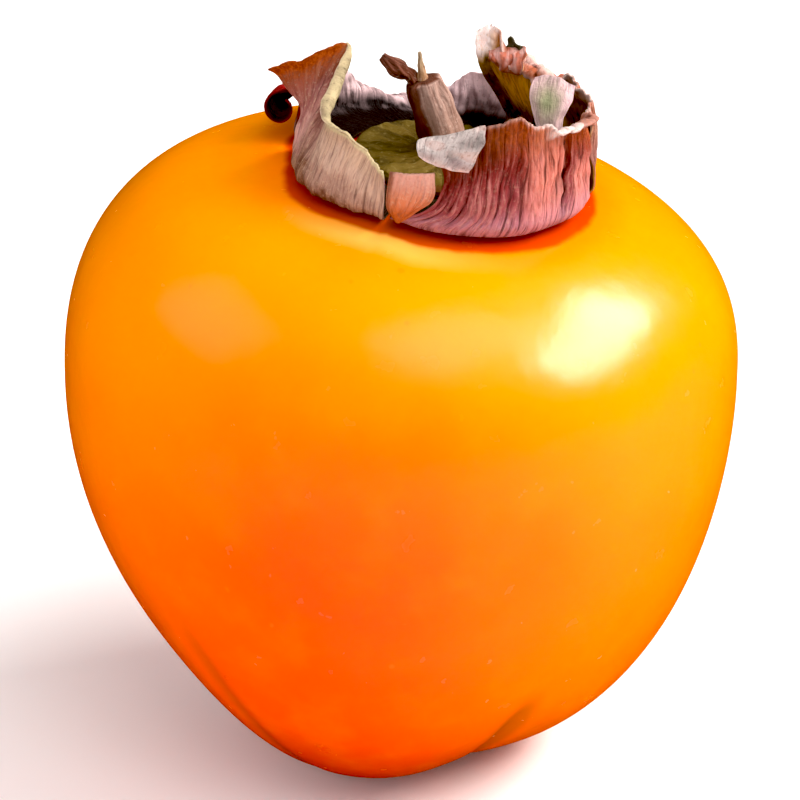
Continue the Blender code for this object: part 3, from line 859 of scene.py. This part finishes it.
def build_right():
    """The right lobe: its rim rolled inwards, a tall tip, and the torn bits inside."""
    columns, rows = 230, 110
    grid = loft([rib_line(rib) for rib in RIGHT_LOBE], columns, rows)
    u = np.linspace(0, 1, columns)
    tip = smooth(0.82, 0.88, u)
    grid = trimmed(grid, ragged(13, columns, 24, 1.4, 0.5) * (1 - 0.7 * tip))
    fold = smooth(0.36, 0.50, u) * fade(0.77, 0.84, u)
    grid = curled(grid, 0.3 + 2.8 * fold + 2.9 * tip, -165 * fold + 80 * tip)
    grid = crumple(grid, 51, 0.16, 1.6, 0.24)
    far = from_rim(grid)
    share = np.linspace(0, 1, rows)[None, :]
    loose = np.maximum(fold, 0.6 * tip)[:, None] * fade(2.2, 4.0, far)
    creased = 0.34 * ripple(53, across_mm(grid), far, 2.6) + 0.2 * ripple(56, across_mm(grid), far, 1.2)
    grid = grid + normals_of(grid) * (loose * creased)[..., None]
    # Painted light: the top of the tip is painted pale, as if light shone through it, and kept clear of
    # the painted shade.
    crown = fade(2.8, 4.2, far) * tip[:, None]
    edge = fade(0.2, 0.7, far)
    # The tip's left margin is painted dark as shade.
    margin = smooth(0.84, 0.90, u)[:, None] * smooth(2.6, 3.6, far)
    near = fade(1.0, 3.5, far) * fade(0.40, 0.50, u)[:, None]
    lit = smooth(0.46, 0.56, u)[:, None] * fade(0.86, 0.92, u)[:, None] * smooth(0.36, 0.54, share)
    glow = smooth(0.0, 1.0, ripple(55, across_mm(grid), far, 2.5))
    worn = smooth(-0.5, 0.5, ripple(54, across_mm(grid), far, 3.0))
    pale = edge * 0.6 + crown + 0.5 * fold[:, None] * bump(2.2, 1.0, far) * worn
    # The inner side is painted dark as shade, except on its lit ochre patch, near the rolled rim and at
    # the tip's top.
    dark = np.maximum(0.9 * margin, 0.9 * (1 - lit)) - 0.7 * near - crown
    fields = {
        "pale": (np.clip(pale, 0, 1), np.clip(pale + 0.6 * near, 0, 1)),
        "warm": fade(0.3, 2.8, far) * (1 - tip[:, None]) * (0.25 + 0.5 * glow),
        "tint": smooth(0.6, 0.72, share) * smooth(0.3, 0.42, u)[:, None],
        "soot": (0.85 * margin, np.clip(dark, 0, 1)),
    }
    wall = wall_sheet(grid, fields)
    tongue = loft([free_line(line) for line in TONGUE], 70, 70)[::-1]
    tongue = shaken(tongue, 57, 0.07, 2.4)
    v = np.linspace(0, 1, 70)
    leaf = bump(0.62, 0.33, v)[:, None] * bump(0.5, 0.38, v)[None, :]
    hanging = sheet(tongue, STRIP, {"pale": 0.32 - 0.25 * leaf, "moss": leaf, "mauve": 0.75})
    tatter = shaken(loft([free_line(line) for line in TATTER], 40, 30), 58, 0.12, 1.3)
    torn = sheet(tatter, SHRED, {"moss": 0.8, "warm": 0.4, "soot": 0.86})
    ribbon = shaken(loft([free_line(line) for line in FOLD], 80, 80)[::-1], 59, 0.17, 2.0)
    glow = smooth(-0.4, 0.8, ripple(60, across_mm(ribbon), from_rim(ribbon), 1.6))
    folded = sheet(ribbon, STRIP, {"pale": 0.06 + 0.22 * glow, "warm": 0.6 - 0.4 * glow, "tint": 1.0})
    return joined([wall, hanging, torn, folded])


def build_back():
    """The back lobe: low, spread outwards, with a scroll at its left end."""
    columns, rows = 240, 120
    grid = loft([rib_line(rib) for rib in BACK_LOBE], columns, rows)
    u = np.linspace(0, 1, columns)
    scroll = smooth(0.78, 0.88, u)
    grid = trimmed(grid, ragged(14, columns, 34, 1.8, 0.3) * (1 - scroll))
    grid = crumple(grid, 61, 0.12, 1.7, 0.2, calm=0.7 * scroll)
    far = from_rim(grid)
    share = np.linspace(0, 1, rows)[None, :]
    rolled = scroll[:, None] * smooth(0.30, 0.40, share)
    lean = smooth(0.22, 0.32, u)[:, None]
    flared = lean * smooth(0.28, 0.46, share)
    worn = np.maximum(fade(1.4, 5.4, far), flared)
    # The lower part of the inner wall is painted near black as shade.
    low = lean * fade(0.44, 0.58, share) + (1 - lean) * smooth(4.0, 5.6, far)
    mottle = 0.9 - 0.1 * lean + 0.4 * ripple(62, across_mm(grid), far, 1.5, 2.0)
    fields = {
        "pale": worn * mottle * (1 - scroll[:, None]),
        # On the scroll, its outer side is painted black as shade and both sides are tinted red as light
        # thrown up from the fruit.
        "soot": (0.95 * rolled, 1.1 * low * (1 - rolled)),
        "blood": rolled,
    }
    return wall_sheet(grid, fields)


def build_strip():
    grid = loft([calyx_line(rib, 80) for rib in TORN_STRIP], 64, 80)
    grid = crumple(grid, 71, 0.07, 1.2, 0.10, floor=0.1)
    far = from_rim(grid)
    # The strip's left edge, in the gap by the left lobe, is painted dark as shade.
    left = fade(0.05, 0.2, np.linspace(0, 1, 64))[:, None]
    pale = 0.6 * fade(0.2, 3.6, far) * (1 - left)
    return sheet(grid, STRIP, {"pale": pale, "warm": 0.6 * smooth(3.0, 5.6, far), "soot": 0.5 * left})


# --- disc and stem


def tube(line, radii, around, rings, relief):
    """A closed tube along a line; relief(turn, share) is added to its radius in mm."""
    middle = catmull(line, rings)
    thick = catmull(np.array(radii)[:, None], rings)[:, 0]
    ahead = unit(np.gradient(middle, axis=0))
    sideways = unit(np.cross(ahead, np.array([0.0, 1.0, 0.0])))
    other = np.cross(ahead, sideways)
    turn = np.linspace(0, 2 * math.pi, around, endpoint=False)
    share = np.linspace(0, 1, rings)
    turns, shares = np.meshgrid(turn, share, indexing="ij")
    radius = thick[None, :] + relief(turns, shares)
    spoke = sideways[None] * np.cos(turns)[..., None] + other[None] * np.sin(turns)[..., None]
    grid = middle[None] + spoke * radius[..., None]
    points, faces = closed_round(grid, middle[[0, -1]])
    fields = {
        "along": with_ends(shares, 0, 1),
        "turn": with_ends(turns),
    }
    return points, faces, fields


def bark_material(name, low, high, dark, streak=1.0, speck=(0.50, 0.36, 0.30)):
    """Dry wood: low and high are the colours of its ends, dark of its furrows."""
    s = Surface(name)
    body = s.body()
    along, turn = s.field("along"), s.field("turn")
    around = [s.times(s.math(wave, turn), 3.2) for wave in ("SINE", "COSINE")]
    lane = s.noise(s.place(*around, s.times(along, 1.6)), 1.0, 4.0, 0.6, 0.3)
    grain = s.noise(body, 2.4, 4.0, 0.65)
    wander = s.stirred(along, grain, 0.5)
    color = s.ramp(wander, (0.0, low), (1.0, high))
    color = s.mix(s.span(lane, 0.52, 0.36, 0.0, 0.85 * streak), color, dark)
    color = s.mix(s.span(grain, 0.52, 0.72, 0.0, 0.5), color, speck)
    # Where the mesh marks the stem's shaded side, the disc's front rim and the stem's cut end, the wood
    # is darkened to a deep red-brown: painted shade, and the darker cut end.
    shade_and_cut_colour = s.mix(grain, (0.11, 0.022, 0.006), (0.05, 0.010, 0.004))
    color = s.mix(s.times(s.field("painted_shade_and_cut_end"), 0.9), color, shade_and_cut_colour)
    normal = s.relief(lane, 0.5, 0.8)
    normal = s.relief(grain, 0.14, 0.7, normal)
    return s.finish(color, s.span(grain, 0.3, 0.7, 0.65, 0.88), normal, Specular_IOR_Level=0.14)


SHADED_SIDE_TURN = 0.45  # of the stem's left side, which is painted dark as shade, in radians


def stem_relief(turn, share):
    ridges = 0.07 * np.sin(7 * turn + 2.0 * share) + 0.05 * np.sin(13 * turn - 3 * share + 1)
    knots = 0.14 * ripple(81, 3 * np.sin(turn), 8 * share + 3 * np.cos(turn), 2.6)
    furrow = -0.3 * bump(0, 0.2, wrapped(turn - SHADED_SIDE_TURN - 0.75))
    return ridges + knots + furrow - 0.5 * smooth(0.965, 1.0, share)


def build_stem():
    points, faces, fields = tube(upright(STEM_LINE), STEM_RADII, 110, 100, stem_relief)
    # The stem's left side is painted dark as shade, and its cut end is darker.
    away = wrapped(fields["turn"] - SHADED_SIDE_TURN)
    cut = smooth(0.965, 0.99, fields["along"])
    fields["painted_shade_and_cut_end"] = np.maximum(fade(0.55, 0.85, np.abs(away)), cut)
    return points, faces, fields


def small_relief(seed, size):
    return lambda turn, share: size * ripple(seed, 2 * np.sin(turn), 4 * share + 2 * np.cos(turn), 1.6)


DISC_PROFILE = (  # radius, height
    (0.4, 3.14), (3.2, 3.14), (4.2, 2.94), (9.0, 2.74), (9.85, 2.5),
    (10.0, 2.2), (10.0, 1.9), (9.6, 1.5), (8.8, 1.44), (0.4, 1.44),
)


def build_disc():
    """The woody disc, ridged from its centre outwards, on the same outline as its CAD solid."""
    rings = catmull(np.array(DISC_PROFILE), 90)
    turn = np.linspace(0, 2 * math.pi, 180, endpoint=False)
    turns, radii = np.meshgrid(turn, rings[:, 0], indexing="ij")
    heights = np.broadcast_to(rings[:, 1], radii.shape)
    top = smooth(2.4, 2.7, heights)
    rough = ripple(91, radii * np.cos(turns), radii * np.sin(turns), 2.2)
    ridge = 0.10 * np.sin(23 * turns + 2 * np.sin(radii)) + 0.12 * rough
    heights = heights + top * smooth(2.5, 5.0, radii) * ridge
    # The disc's rim at the front is painted dark as shade.
    shade = 0.9 * smooth(8.2, 9.6, radii) * bump(0, 0.5, wrapped(turns))
    grid = in_calyx(np.stack([radii * np.sin(turns), -radii * np.cos(turns), heights], axis=-1))
    ends = in_calyx(((0, 0, DISC_PROFILE[0][1]), (0, 0, DISC_PROFILE[-1][1])))
    points, faces = closed_round(grid, ends, flipped=True)
    fields = {
        "along": with_ends(radii / 10),
        "turn": with_ends(turns),
        "painted_shade_and_cut_end": with_ends(shade),
    }
    return points, faces, fields


def upright(line):
    return in_calyx([(x, 0.0, height) for x, height in line])


def build_style():
    low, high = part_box("style_tip")
    middle = (low + high) / 2 / MM
    top, bottom = high.z / MM - 0.05, low.z / MM + 0.05
    heights = np.linspace(top, bottom, 4)
    line = [(middle.x, middle.y + 0.001 * k, height) for k, height in enumerate(heights)]
    return tube(line, (0.72, 0.6, 0.4, 0.2), 28, 24, small_relief(95, 0.06))


def build_papers():
    """The four lobes and the strip."""
    paper = paper_material(
        "lobe_left_paper", MAUVE, SHADOWED, tint=BEIGE, pale=(0.56, 0.44, 0.25),
        streak=0.65, speck=0.5, lit=(0.58, 0.33, 0.22),
    )
    add_piece("lobe_left", build_left(), paper, "calyx_lobe_left")
    paper = paper_material(
        "lobe_front_paper", MAROON, SHADOWED, tint=SALMON, pale=(0.82, 0.68, 0.64),
        streak=1.1, speck=0.2, lit=(0.50, 0.19, 0.17),
    )
    add_piece("lobe_front", build_front(), paper, "calyx_lobe_front")
    paper = paper_material("lobe_right_paper", PLUM, OCHRE, tint=SALMON, pale=(0.96, 0.76, 0.71))
    add_piece("lobe_right", build_right(), paper, "calyx_lobe_right")
    paper = paper_material("lobe_back_paper", MAUVE, SHADOWED, tint=MAUVE, pale=(0.70, 0.48, 0.49))
    add_piece("lobe_back", build_back(), paper, "calyx_lobe_back")
    paper = paper_material("strip_paper", PEACH, PEACH, tint=PEACH, pale=(0.66, 0.36, 0.30), streak=0.5)
    add_piece("torn_strip", build_strip(), paper, "calyx_strip")


def build_wood():
    """The disc, the stem and the small pieces."""
    bark = bark_material(
        "disc_bark", low=(0.12, 0.068, 0.016), high=(0.12, 0.078, 0.014), dark=(0.03, 0.018, 0.003),
        streak=0.8, speck=(0.24, 0.18, 0.07),
    )
    add_piece("disc", build_disc(), bark, "calyx_disc")
    bark = bark_material(
        "stem_bark", low=(0.26, 0.14, 0.10), high=(0.44, 0.27, 0.22), dark=(0.09, 0.025, 0.014),
        streak=0.7,
    )
    add_piece("stem_stub", build_stem(), bark, "stem")
    bark = bark_material(
        "bract_bark", low=(0.16, 0.05, 0.03), high=(0.18, 0.06, 0.04), dark=(0.03, 0.010, 0.007),
        streak=0.8, speck=(0.34, 0.22, 0.17),
    )
    twig = tube(upright(BRACT_LINE), BRACT_RADII, 40, 50, small_relief(82, 0.16))
    add_piece("bract", twig, bark, "stem_bract")
    bark = bark_material(
        "splinter_bark", low=(0.40, 0.20, 0.10), high=(0.60, 0.42, 0.26), dark=(0.20, 0.09, 0.05)
    )
    spike = tube(upright(SPLINTER_LINE), SPLINTER_RADII, 24, 30, small_relief(83, 0.07))
    add_piece("splinter", spike, bark, "stem_splinter")
    bark = bark_material(
        "style_bark", low=(0.03, 0.016, 0.01), high=(0.02, 0.01, 0.006), dark=(0.006, 0.004, 0.003)
    )
    add_piece("style", build_style(), bark, "style_tip")


# --- the studio

AIM = Vector((0, 0, 38 * MM))
EYE_ELEVATION, EYE_DISTANCE = 27.3, 0.450
SENSOR, LENS, LENS_SHIFT = 36.0, 174.6, (-0.002, 0.0495)
FLOOR_HALF, FLOOR_COUNT = 0.75, 24
SKY = ((0.13, 1.0), (0.22, 0.29), (0.7, 0.50))  # height in the sky, brightness
BLACK_LEVEL = (0.016, 0.016, 0.018)
LIGHTS = (  # name, azimuth, elevation, distance, size, power, colour, mirrored in glossy skin
    ("key", 97, 41, 0.7, (0.62, 0.24), 8.8, (1.0, 0.96, 0.91), True),
    ("overhead", 55, 68, 0.8, (0.6, 0.35), 1.7, (1, 1, 1), True),
    ("left_fill", -84, 42, 0.8, (0.5, 0.5), 0.9, (1, 1, 1), True),
    ("front_fill", -25, 22, 1.0, (0.8, 0.6), 2.6, (1, 1, 1), False),
    ("front_top", 15, 52, 1.0, (0.5, 0.4), 2.2, (1, 1, 1), False),
)


def toward(azimuth, elevation, distance):
    """A place in a direction from the fruit."""
    turn, rise = math.radians(azimuth), math.radians(elevation)
    flat = math.cos(rise)
    return AIM + Vector((flat * math.sin(turn), -flat * math.cos(turn), math.sin(rise))) * distance


def add_light(name, azimuth, elevation, distance, size, power, color, mirrored):
    """A soft box turned to the fruit."""
    data = bpy.data.lights.new(name, "AREA")
    data.shape = "RECTANGLE"
    data.size, data.size_y = size
    data.energy = power
    data.color = color
    lamp = add_object(name, data)
    lamp.location = toward(azimuth, elevation, distance)
    lamp.rotation_euler = (AIM - lamp.location).to_track_quat("-Z", "Y").to_euler()
    lamp.visible_glossy = mirrored


def add_floor():
    """A plain pale floor under the fruit."""
    steps = np.linspace(-FLOOR_HALF, FLOOR_HALF, FLOOR_COUNT)
    points = [(x, y, 0.0) for x in steps for y in steps]
    number = np.arange(FLOOR_COUNT**2).reshape(FLOOR_COUNT, FLOOR_COUNT)
    s = Surface("floor_paper")
    grain = s.noise(s.body(), 0.02, 3.0)
    color = s.mix(grain, (0.93, 0.93, 0.93), (0.95, 0.95, 0.95))
    paper = s.finish(color, 0.9, s.relief(grain, 0.2, 0.1), Specular_IOR_Level=0.1)
    floor = add_mesh("floor", points, quads(number).tolist(), paper)
    floor.visible_glossy = False


def add_studio():
    scene = bpy.context.scene
    world = bpy.data.worlds.new("studio")
    scene.world = world
    world.use_nodes = True
    tree = world.node_tree
    where = tree.nodes.new("ShaderNodeTexCoord")
    parts = tree.nodes.new("ShaderNodeSeparateXYZ")
    shade = tree.nodes.new("ShaderNodeValToRGB")
    tree.links.new(where.outputs["Generated"], parts.inputs[0])
    tree.links.new(parts.outputs["Z"], shade.inputs[0])
    tree.links.new(shade.outputs[0], tree.nodes["Background"].inputs[0])
    stops = shade.color_ramp.elements
    stops.new(SKY[1][0])
    for stop, (place, bright) in zip(stops, SKY):
        stop.position, stop.color = place, (bright, bright, bright, 1)
    world.cycles_visibility.glossy = False
    for light in LIGHTS:
        add_light(*light)
    view = scene.view_settings
    view.view_transform = "Standard"
    view.look = "None"
    view.use_curve_mapping = True
    view.curve_mapping.black_level = BLACK_LEVEL
    view.curve_mapping.update()


def add_camera():
    data = bpy.data.cameras.new("camera")
    data.sensor_width = SENSOR
    data.lens = LENS
    data.shift_x, data.shift_y = LENS_SHIFT
    camera = add_object("camera", data)
    camera.location = toward(0, EYE_ELEVATION, EYE_DISTANCE)
    camera.rotation_euler = (math.radians(90 - EYE_ELEVATION), 0, 0)
    bpy.context.scene.camera = camera


add_camera()
add_piece("persimmon_fruit", build_fruit(), skin_material(), "fruit")
build_papers()
build_wood()
add_floor()
add_studio()
